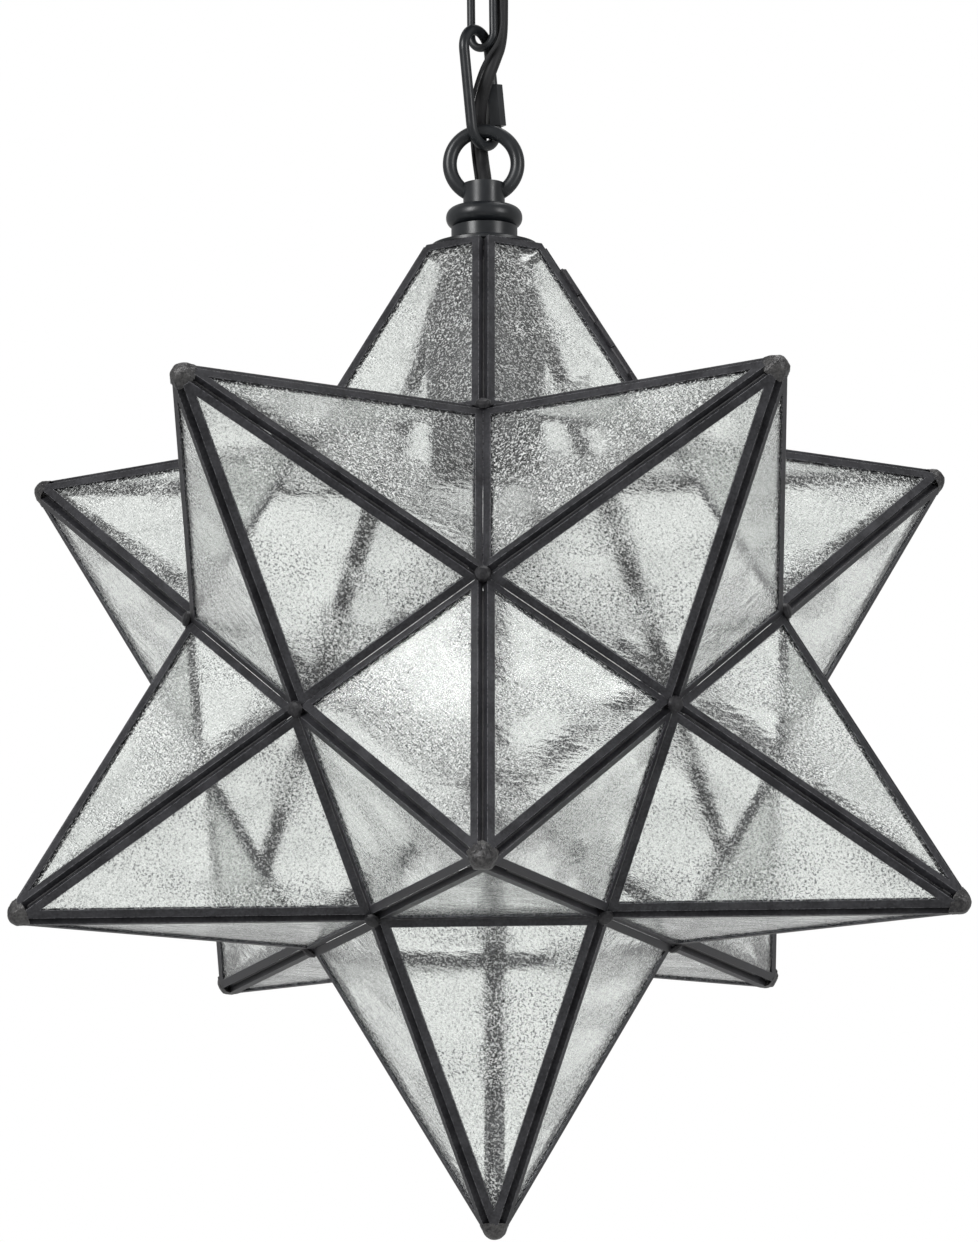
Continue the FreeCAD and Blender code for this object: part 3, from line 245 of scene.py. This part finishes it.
def spike_directions():
    """The axis of each of the twelve spikes."""
    directions = {"top": Vector((0, 0, 1)), "bottom": Vector((0, 0, -1))}
    for i in range(5):
        upper, lower = math.radians(UPPER_FROM + SPIKE_TURN * i), math.radians(SPIKE_TURN * i)
        directions[f"upper_{i + 1}"] = Vector(
            (SPIKE_RING * math.sin(upper), -SPIKE_RING * math.cos(upper), SPIKE_RISE)
        )
        directions[f"lower_{i + 1}"] = Vector(
            (SPIKE_RING * math.sin(lower), -SPIKE_RING * math.cos(lower), -SPIKE_RISE)
        )
    return directions


SPIKES = spike_directions()


def neighbours(a, b):
    """Whether two spikes stand side by side."""
    return math.isclose(a.dot(b), SPIKE_RISE, abs_tol=0.05)


def spikes_beside(axis):
    """The axes of the five spikes round this one."""
    return [other for other in SPIKES.values() if neighbours(axis, other)]


def corner_directions():
    """Towards the twenty corners where three spikes meet."""
    spikes = list(SPIKES.values())
    corners = []
    for i, a in enumerate(spikes):
        for j in range(i + 1, len(spikes)):
            for c in spikes[j + 1:]:
                if neighbours(a, spikes[j]) and neighbours(a, c) and neighbours(spikes[j], c):
                    corners.append((a + spikes[j] + c).normalized())
    return corners


# ---------------------------------------------------------------- solder over the tips
# In mm. Heights are above the cames' ends, which lie TIP_REACH from the star's centre.
TIP_REACH = 215.7
TIP_HEIGHTS = [-0.7, -0.2, 0.4, 1.0, 1.6, 2.2, 2.8, 3.3, 3.8, 4.2, 4.6, 4.9, 5.15, 5.3]
TIP_TOP = 5.35
TIP_FLANK = 5.1  # from the tip's middle line to a pane's side, at height 0
TIP_TAPER = 0.42
TIP_SHOULDER = 0.6  # above this height the flanks close in to the top
TIP_CLOSING = 5  # the greater, the later they close
TIP_ROUNDNESS = 0.45  # share of a round section that is mixed into the five-sided one
TIP_ROUND_RADIUS = 1.06  # of the round section, in flanks
TIP_LUMPS = ((0.45, 0.34), (1.2, 0.16))  # lumps per mm, and their height
TIP_SIDES = 60
PENTAGON_HALF = math.radians(36)


def tip_ring(height):
    """Radii round a tip's cap at this height, from the middle of a pane."""
    flank = TIP_FLANK - TIP_TAPER * height
    if height > TIP_SHOULDER:
        share = (height - TIP_SHOULDER) / (TIP_TOP - TIP_SHOULDER)
        flank *= max(0.0, 1 - share ** TIP_CLOSING) ** 0.5
    radii = []
    for k in range(TIP_SIDES):
        turn = (2 * math.pi * k / TIP_SIDES + PENTAGON_HALF) % (2 * PENTAGON_HALF) - PENTAGON_HALF
        five_sided = flank / math.cos(turn)
        radii.append(five_sided * (1 - TIP_ROUNDNESS) + flank * TIP_ROUND_RADIUS * TIP_ROUNDNESS)
    return radii


def tip_point(axis, out, height, radius):
    """A point of a tip's cap, moved in or out by uneven lumps."""
    where = axis * (TIP_REACH + height) + out * radius
    lump = sum(noise.noise(where * per_mm) * high for per_mm, high in TIP_LUMPS)
    where += out * lump
    return STAR_CENTRE + where * MM


def tip_caps():
    """Solder that runs over the ends of the five cames at each tip, a little uneven."""
    vertices, faces = [], []
    for name, axis in SPIKES.items():
        if name == "top":
            continue
        beside = spikes_beside(axis)[0]
        flat = (beside - axis * beside.dot(axis)).normalized()
        side = axis.cross(flat)
        first = len(vertices)
        for height in TIP_HEIGHTS:
            for k, radius in enumerate(tip_ring(height)):
                turn = 2 * math.pi * k / TIP_SIDES
                out = flat * math.cos(turn) + side * math.sin(turn)
                vertices.append(tip_point(axis, out, height, radius))
        last = len(vertices) - TIP_SIDES
        summit = len(vertices)
        vertices.append(STAR_CENTRE + axis * ((TIP_REACH + TIP_TOP) * MM))
        faces += ring_quads(first, len(TIP_HEIGHTS), TIP_SIDES)
        faces += [(last + k, last + (k + 1) % TIP_SIDES, summit) for k in range(TIP_SIDES)]
        faces.append(ring_face(first, TIP_SIDES)[::-1])
    caps = smooth_piece("tip_caps", vertices, faces)
    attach(caps, "star")
    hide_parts("tip_solder_caps")
    return caps


caps = tip_caps()

# ---------------------------------------------------------------- solder down the grooves
# In mm. The reaches are from the star's centre, to a thousandth: a corner between the spikes, and the
# point where a spike's ridges would meet. A seam's section is given across its groove and out from
# the ridge line.
VALLEY_EDGE = 90.77
GOLDEN = (1 + math.sqrt(5)) / 2
CORNER_REACH = round(VALLEY_EDGE * GOLDEN * math.sqrt(3) / 2, 3)
TIP_SHARP = round(VALLEY_EDGE * GOLDEN ** 2 * math.sqrt(GOLDEN ** 2 + 1) / 2, 3)
CROWN_DEPTH = 52.0  # from the top spike's missing point down to where its seams start
SEAM_SECTION = ((-0.42, -3.33), (0.0, -3.18), (0.42, -3.33), (0.0, -3.85))
SEAM_STEP = 3
SEAM_WAVE = 0.12
SEAM_WAVES_PER_MM = 0.3
BELOW_CAP = 1.0  # a seam starts this far under its tip's cap
BEFORE_CORNER = 6  # and stops this far short of the corner
UNBROKEN_SHARE = 0.35  # of the seams; the others have one open span
OPEN_AFTER = (3, 24)
OPEN_LENGTH = (6, 18)
SEAM_SEED = 7
CORNER_BLOB = 3.4  # radius
CORNER_SUNK = 5.6  # from the corner in to the blob's middle
CORNER_LUMPS = 0.12  # of the radius
CORNER_LUMPS_PER_MM = 0.4
BESIDE_DOOR = math.radians(50)
TOP_CORNERS_ABOVE = 0.7  # height of the top spike's corners, as a share of their reach, is over this


def seam_spans(chance, start, end):
    """The parts of one groove that solder fills, with an open span in most of them."""
    if chance.random() < UNBROKEN_SHARE:
        return [(start, end)]
    open_from = start + chance.uniform(*OPEN_AFTER)
    open_to = open_from + chance.uniform(*OPEN_LENGTH)
    return [(start, open_from), (open_to, end)]


def seam_vertices(tip, along, out, first, last):
    """A thin run of solder down one groove, from first to last along it."""
    side = along.cross(out)
    steps = max(2, round((last - first) / SEAM_STEP))
    vertices = []
    for i in range(steps + 1):
        centre = tip + along * (first + (last - first) * i / steps)
        for x, y in SEAM_SECTION:
            y += SEAM_WAVE * noise.noise(centre * SEAM_WAVES_PER_MM)
            vertices.append(STAR_CENTRE + (centre + side * x + out * y) * MM)
    return vertices


def add_seams(vertices, faces, door_side):
    """Seams down the ridges of all spikes, but not down the door's own two."""
    chance = random.Random(SEAM_SEED)
    points = len(SEAM_SECTION)
    for name, axis in SPIKES.items():
        beside = spikes_beside(axis)
        pairs = [(b, c) for i, b in enumerate(beside) for c in beside[i + 1:] if neighbours(b, c)]
        for b, c in pairs:
            corner = (axis + b + c).normalized() * CORNER_REACH
            if name == "top" and corner.xy.angle(door_side.xy) < BESIDE_DOOR:
                continue
            tip = axis * TIP_SHARP
            along = (corner - tip).normalized()
            out = (axis - along * axis.dot(along)).normalized()
            depth = CROWN_DEPTH if name == "top" else TIP_SHARP - TIP_REACH + BELOW_CAP
            start = depth / -along.dot(axis)
            for first, last in seam_spans(chance, start, (corner - tip).length - BEFORE_CORNER):
                base = len(vertices)
                vertices += seam_vertices(tip, along, out, first, last)
                faces += tube_faces(base, (len(vertices) - base) // points, points)


def add_corner_blobs(vertices, faces, door_side):
    """A blob behind each corner between the spikes, but not behind the door's two."""
    blob = bmesh.new()
    bmesh.ops.create_icosphere(blob, subdivisions=3, radius=CORNER_BLOB)
    blob.verts.index_update()
    for corner in corner_directions():
        if corner.z > TOP_CORNERS_ABOVE and corner.xy.angle(door_side.xy) < BESIDE_DOOR:
            continue
        base = len(vertices)
        for vertex in blob.verts:
            where = corner * (CORNER_REACH - CORNER_SUNK) + vertex.co
            where += vertex.co * CORNER_LUMPS * noise.noise(where * CORNER_LUMPS_PER_MM)
            vertices.append(STAR_CENTRE + where * MM)
        faces += [tuple(base + v.index for v in face.verts) for face in blob.faces]
    blob.free()


def ridge_solder():
    """Thin runs of solder in the grooves between the cames, and blobs where the grooves meet."""
    low_corner, high_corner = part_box("door_frame")
    door_side = (Vector(low_corner) + Vector(high_corner)) / 2
    vertices, faces = [], []
    add_seams(vertices, faces, door_side)
    add_corner_blobs(vertices, faces, door_side)
    runs = smooth_piece("ridge_solder", vertices, faces)
    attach(runs, "star")
    return runs


runs = ridge_solder()


# ---------------------------------------------------------------- material helpers
class Nodes:
    """The node tree of a material or a world, with short ways to add to it."""

    def __init__(self, owner):
        self.owner = owner
        owner.use_nodes = True
        self.tree = owner.node_tree
        self.tree.nodes.clear()

    def add(self, kind, inputs=None, **settings):
        made = self.tree.nodes.new("ShaderNode" + kind)
        for key, value in settings.items():
            setattr(made, key, value)
        for key, value in (inputs or {}).items():
            if isinstance(value, bpy.types.NodeSocket):
                self.tree.links.new(value, made.inputs[key])
            else:
                made.inputs[key].default_value = value
        return made

    def math(self, operation, a, b=0.0):
        return self.add("Math", {0: a, 1: b}, operation=operation).outputs[0]

    def vector(self, operation, a, b=(0, 0, 0)):
        made = self.add("VectorMath", {0: a, 1: b}, operation=operation)
        return made.outputs["Value" if operation == "DOT_PRODUCT" else "Vector"]

    def remap(self, value, low, high, to_low=0.0, to_high=1.0, smooth=False):
        inputs = {
            "Value": value, "From Min": low, "From Max": high, "To Min": to_low, "To Max": to_high,
        }
        kind = "SMOOTHSTEP" if smooth else "LINEAR"
        return self.add("MapRange", inputs, interpolation_type=kind).outputs["Result"]

    def blend(self, share, a, b):
        """Colour a at share 0 and b at share 1."""
        inputs = {0: share, 6: a, 7: b}
        return self.add("Mix", inputs, data_type="RGBA").outputs[2]

    def noise(self, where, size, detail=2.0, rough=0.5):
        """Noise whose features are about size metres across."""
        inputs = {"Vector": where, "Scale": 1 / size, "Detail": detail, "Roughness": rough}
        return self.add("TexNoise", inputs).outputs["Fac"]

    def place(self):
        return self.add("TexCoord").outputs["Object"]

    def bump(self, height, distance, normal=None):
        inputs = {"Height": height, "Distance": distance}
        if normal is not None:
            inputs["Normal"] = normal
        return self.add("Bump", inputs).outputs["Normal"]

    def principled(self, inputs):
        """Ends a material in one Principled shader."""
        return self.output(self.add("BsdfPrincipled", inputs))

    def output(self, shader):
        self.add("OutputMaterial", {"Surface": shader.outputs[0]})
        return self.owner


def new_material(name):
    return Nodes(bpy.data.materials.new(name))


def rgba(r, g, b):
    return (r, g, b, 1.0)


# ---------------------------------------------------------------- seeded glass
RIPPLES_ACROSS = (0.31, -0.42, 0.85)  # each pane's ripples run across this direction
RIPPLES_NARROWED = 0.5  # their width over their length
GRAIN_SIZE = 0.62 * MM
SPECK_SIZE = 0.7 * MM
# The pale flecks sized below are painted glints, standing in for light caught by the seeds in the
# glass.
GLINT_SPOT_SIZE = 1.0 * MM
SWIRL_SIZE = 2.4 * MM
WAVE_SIZE = 6 * MM
PATCH_SIZE = 22 * MM
GLASS_RELIEF = 0.12 * MM
CLEAR_TINT = rgba(0.93, 0.945, 0.93)
# The dark flecks are painted shade, standing in for the darkening that refraction gives in the
# rippled glass.
PAINTED_SHADE_TINT = rgba(0.11, 0.115, 0.12)
SHADOW_TINT = rgba(0.88, 0.89, 0.89)


def seeded_glass():
    """Clear rolled glass with drawn ripples, painted shade in dark flecks and painted glints in pale
    ones, calm in some patches.
    """
    n = new_material("seeded_glass")
    place = n.place()
    normal = n.add("NewGeometry").outputs["True Normal"]
    along = n.vector("NORMALIZE", n.vector("CROSS_PRODUCT", normal, RIPPLES_ACROSS))
    across = n.vector("CROSS_PRODUCT", normal, along)
    u = n.vector("DOT_PRODUCT", place, along)
    v = n.vector("DOT_PRODUCT", place, across)
    drawn = n.add("CombineXYZ", {"X": n.math("MULTIPLY", u, RIPPLES_NARROWED), "Y": v}).outputs[0]

    grain = n.noise(drawn, GRAIN_SIZE, detail=1.0)
    speck = n.noise(place, SPECK_SIZE, detail=1.0)
    glint_spots = n.noise(place, GLINT_SPOT_SIZE, detail=1.0, rough=0.6)
    swirl = n.noise(drawn, SWIRL_SIZE, detail=1.0)
    wave = n.noise(drawn, WAVE_SIZE, detail=1.5)
    patch = n.noise(drawn, PATCH_SIZE)
    busy = n.remap(patch, 0.44, 0.60, smooth=True)

    rough_skin = n.math("ADD", n.math("MULTIPLY", grain, 0.6), n.math("MULTIPLY", speck, 0.4))
    ripples = n.math(
        "MULTIPLY", n.remap(rough_skin, 0.46, 0.62), n.remap(busy, 0.0, 1.0, 0.04, 0.20)
    )
    swirls = n.math("MULTIPLY", swirl, n.remap(busy, 0.0, 1.0, 0.35, 1.1))
    height = n.math("ADD", n.math("ADD", ripples, swirls), n.math("MULTIPLY", wave, 1.6))
    bumped = n.bump(height, GLASS_RELIEF)

    flecks = n.remap(busy, 0.0, 1.0, 0.55, 1.0)
    # Painted shade: dark flecks in the low spots of the fine grain, stronger in the busy patches.
    painted_shade_fleck = n.math("MULTIPLY", n.remap(rough_skin, 0.475, 0.375, smooth=True), flecks)
    # Painted glints: pale flecks where the glass loses transmission and shows its pale base colour.
    painted_glint_fleck = n.math("MULTIPLY", n.remap(glint_spots, 0.54, 0.63, smooth=True), flecks)
    glass = n.add("BsdfPrincipled", {
        "Base Color": n.blend(painted_shade_fleck, CLEAR_TINT, PAINTED_SHADE_TINT),
        "Roughness": 0.03,
        "IOR": 1.48,
        "Transmission Weight": n.remap(painted_glint_fleck, 0.0, 1.0, 1.0, 0.45),
        "Normal": bumped,
    })
    clear = n.add("BsdfTransparent", {"Color": SHADOW_TINT})
    shadow = n.add("LightPath").outputs["Is Shadow Ray"]
    return n.output(n.add("MixShader", {0: shadow, 1: glass.outputs[0], 2: clear.outputs[0]}))


# ---------------------------------------------------------------- metals and the rest
def patina(name, colour, cloudy, edge_highlight_colour, roughness, metallic, edge, lumps=0.03 * MM, shine=0.3):
    """Dark chemically coloured metal: cloudy tone, a fine uneven skin and a painted highlight along
    its rounded edges.
    """
    n = new_material(name)
    place = n.place()
    cloud = n.noise(place, 12 * MM, detail=4.0, rough=0.6)
    fine = n.noise(place, 1.1 * MM, detail=3.0, rough=0.6)
    both = n.math("ADD", n.math("MULTIPLY", cloud, 0.55), n.math("MULTIPLY", fine, 0.45))
    tone = n.blend(n.remap(both, 0.42, 0.62), rgba(*colour), rgba(*cloudy))
    rounded = n.add("Bevel", {"Radius": edge}, samples=4).outputs[0]
    flat = n.add("NewGeometry").outputs["True Normal"]
    turned = n.math("SUBTRACT", 1.0, n.vector("DOT_PRODUCT", rounded, flat))
    # Painted highlight: a paler colour where the bevelled normal turns away from the flat face,
    # broken up by the fine noise.
    painted_edge_highlight = n.math("MULTIPLY", n.remap(turned, 0.02, 0.16), n.remap(fine, 0.38, 0.55))
    return n.principled({
        "Base Color": n.blend(painted_edge_highlight, tone, rgba(*edge_highlight_colour)),
        "Roughness": n.remap(both, 0.3, 0.7, roughness - 0.08, roughness + 0.1),
        "Metallic": metallic,
        "Normal": n.bump(fine, lumps, rounded),
        "Specular IOR Level": shine,
    })


def painted(name, colour, roughness, grain_size=0.6 * MM, grain_high=0.012 * MM, shine=0.3):
    """Powder coat or a moulded skin: one tone with a faint orange peel."""
    n = new_material(name)
    place = n.place()
    peel = n.noise(place, grain_size)
    cloud = n.noise(place, 9 * MM, detail=3.0)
    lighter = tuple(min(1.0, c * 1.35 + 0.004) for c in colour)
    return n.principled({
        "Base Color": n.blend(n.remap(cloud, 0.4, 0.65), rgba(*colour), rgba(*lighter)),
        "Roughness": n.remap(cloud, 0.35, 0.65, roughness - 0.05, roughness + 0.06),
        "Normal": n.bump(peel, grain_high),
        "Specular IOR Level": shine,
    })


def bare_metal(name, colour, dull, roughness, brushed=(1, 1, 1)):
    """Plated or drawn metal with faint brushing and a little dullness."""
    n = new_material(name)
    place = n.vector("MULTIPLY", n.place(), brushed)
    lines = n.noise(place, 0.5 * MM, detail=3.0, rough=0.6)
    cloud = n.noise(n.place(), 7 * MM, detail=3.0)
    uneven = n.math("ADD", lines, cloud)
    return n.principled({
        "Base Color": n.blend(n.remap(cloud, 0.38, 0.66), rgba(*colour), rgba(*dull)),
        "Roughness": n.remap(uneven, 0.7, 1.3, roughness - 0.06, roughness + 0.1),
        "Metallic": 1.0,
        "Normal": n.bump(lines, 0.01 * MM),
    })


# The third colour of each patina is its painted edge highlight.
MATERIALS = {
    "seeded_glass": seeded_glass(),
    "came_metal": patina(
        "came_metal", (0.015, 0.015, 0.0175), (0.042, 0.042, 0.047), (0.30, 0.30, 0.32),
        roughness=0.42, metallic=0.1, edge=0.36 * MM,
    ),
    "solder": patina(
        "solder", (0.014, 0.0135, 0.015), (0.085, 0.083, 0.082), (0.12, 0.115, 0.11),
        roughness=0.32, metallic=0.4, edge=0.3 * MM, lumps=0.4 * MM, shine=0.6,
    ),
    "hinge_metal": patina(
        "hinge_metal", (0.016, 0.0155, 0.018), (0.040, 0.038, 0.042), (0.17, 0.165, 0.17),
        roughness=0.38, metallic=0.15, edge=0.2 * MM,
    ),
    "fitter_black": painted("fitter_black", (0.0075, 0.009, 0.011), 0.34, shine=0.45),
    "chain_black": painted("chain_black", (0.0075, 0.009, 0.011), 0.36, shine=0.45),
    "zinc_steel": bare_metal(
        "zinc_steel", (0.60, 0.60, 0.58), (0.46, 0.46, 0.45), 0.34, brushed=(1, 0.1, 1)
    ),
    "cup_black": painted("cup_black", (0.012, 0.012, 0.0135), 0.5, shine=0.2),
    "phenolic": painted("phenolic", (0.028, 0.028, 0.029), 0.42),
    "shell_metal": bare_metal(
        "shell_metal", (0.78, 0.78, 0.79), (0.62, 0.62, 0.63), 0.26, brushed=(1, 1, 0.2)
    ),
    "contact_brass": bare_metal("contact_brass", (0.75, 0.58, 0.28), (0.55, 0.42, 0.2), 0.25),
    "ground_green": painted("ground_green", (0.03, 0.30, 0.10), 0.35, shine=0.5),
    "nut_plastic": painted("nut_plastic", (0.75, 0.20, 0.04), 0.42, shine=0.5),
    "cord_black": painted("cord_black", (0.010, 0.010, 0.011), 0.5, 0.8 * MM, 0.02 * MM),
}

VALLEY_SOLDER = patina(
    "valley_solder", (0.012, 0.012, 0.0135), (0.034, 0.033, 0.036), (0.07, 0.07, 0.07),
    roughness=0.45, metallic=0.15, edge=0.3 * MM, lumps=0.15 * MM,
)

for name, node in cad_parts.items():
    slot = node.data.materials[0].name.split(".")[0]
    node.data.materials[0] = VALLEY_SOLDER if name == "valley_solder" else MATERIALS[slot]
for piece in cords:
    piece.data.materials.append(MATERIALS["cord_black"])
caps.data.materials.append(MATERIALS["solder"])
runs.data.materials.append(VALLEY_SOLDER)

# ---------------------------------------------------------------- room and light
FLOOR_HALF = 6.0
FLOOR_HEIGHT = -2.4
SKY_SEEN = 1.0
SKY_LIGHT = 0.48
LAMP_AIM = (0, 0, -0.35)
# Each lamp's name, place, width and height in metres, and power in watts.
LAMPS = [
    ("key_lamp", (-1.9, -2.1, 0.9), (1.0, 1.4), 62),
    ("fill_lamp", (2.2, -1.8, 0.2), (0.7, 1.4), 26),
    ("top_lamp", (0.2, 0.3, 1.9), (1.4, 1.4), 30),
]


def add_floor():
    corners = [
        (-FLOOR_HALF, -FLOOR_HALF, FLOOR_HEIGHT), (FLOOR_HALF, -FLOOR_HALF, FLOOR_HEIGHT),
        (FLOOR_HALF, FLOOR_HALF, FLOOR_HEIGHT), (-FLOOR_HALF, FLOOR_HALF, FLOOR_HEIGHT),
    ]
    mesh = bpy.data.meshes.new("floor")
    mesh.from_pydata(corners, [], [(0, 1, 2, 3)])
    floor = bpy.data.objects.new("floor", mesh)
    bpy.context.scene.collection.objects.link(floor)
    n = new_material("pale_floor")
    mesh.materials.append(n.principled({"Base Color": rgba(0.84, 0.84, 0.83), "Roughness": 0.7}))


def add_world():
    """A white sky, dimmer as a light than where it is seen directly or through the glass."""
    world = bpy.data.worlds.new("studio")
    bpy.context.scene.world = world
    n = Nodes(world)
    path = n.add("LightPath")
    seen = n.math("MAXIMUM", path.outputs["Is Camera Ray"], path.outputs["Is Transmission Ray"])
    strength = n.remap(seen, 0.0, 1.0, SKY_LIGHT, SKY_SEEN)
    sky = n.add("Background", {"Color": rgba(1, 1, 1), "Strength": strength})
    n.add("OutputWorld", {"Surface": sky.outputs[0]})


def add_lamp(name, place, size, power):
    data = bpy.data.lights.new(name, "AREA")
    data.shape = "RECTANGLE"
    data.size, data.size_y = size
    data.energy = power
    lamp = bpy.data.objects.new(name, data)
    bpy.context.scene.collection.objects.link(lamp)
    lamp.location = place
    lamp.rotation_euler = (Vector(LAMP_AIM) - Vector(place)).to_track_quat("-Z", "Y").to_euler()


add_floor()
add_world()
for lamp in LAMPS:
    add_lamp(*lamp)

bpy.context.scene.view_settings.view_transform = "Standard"
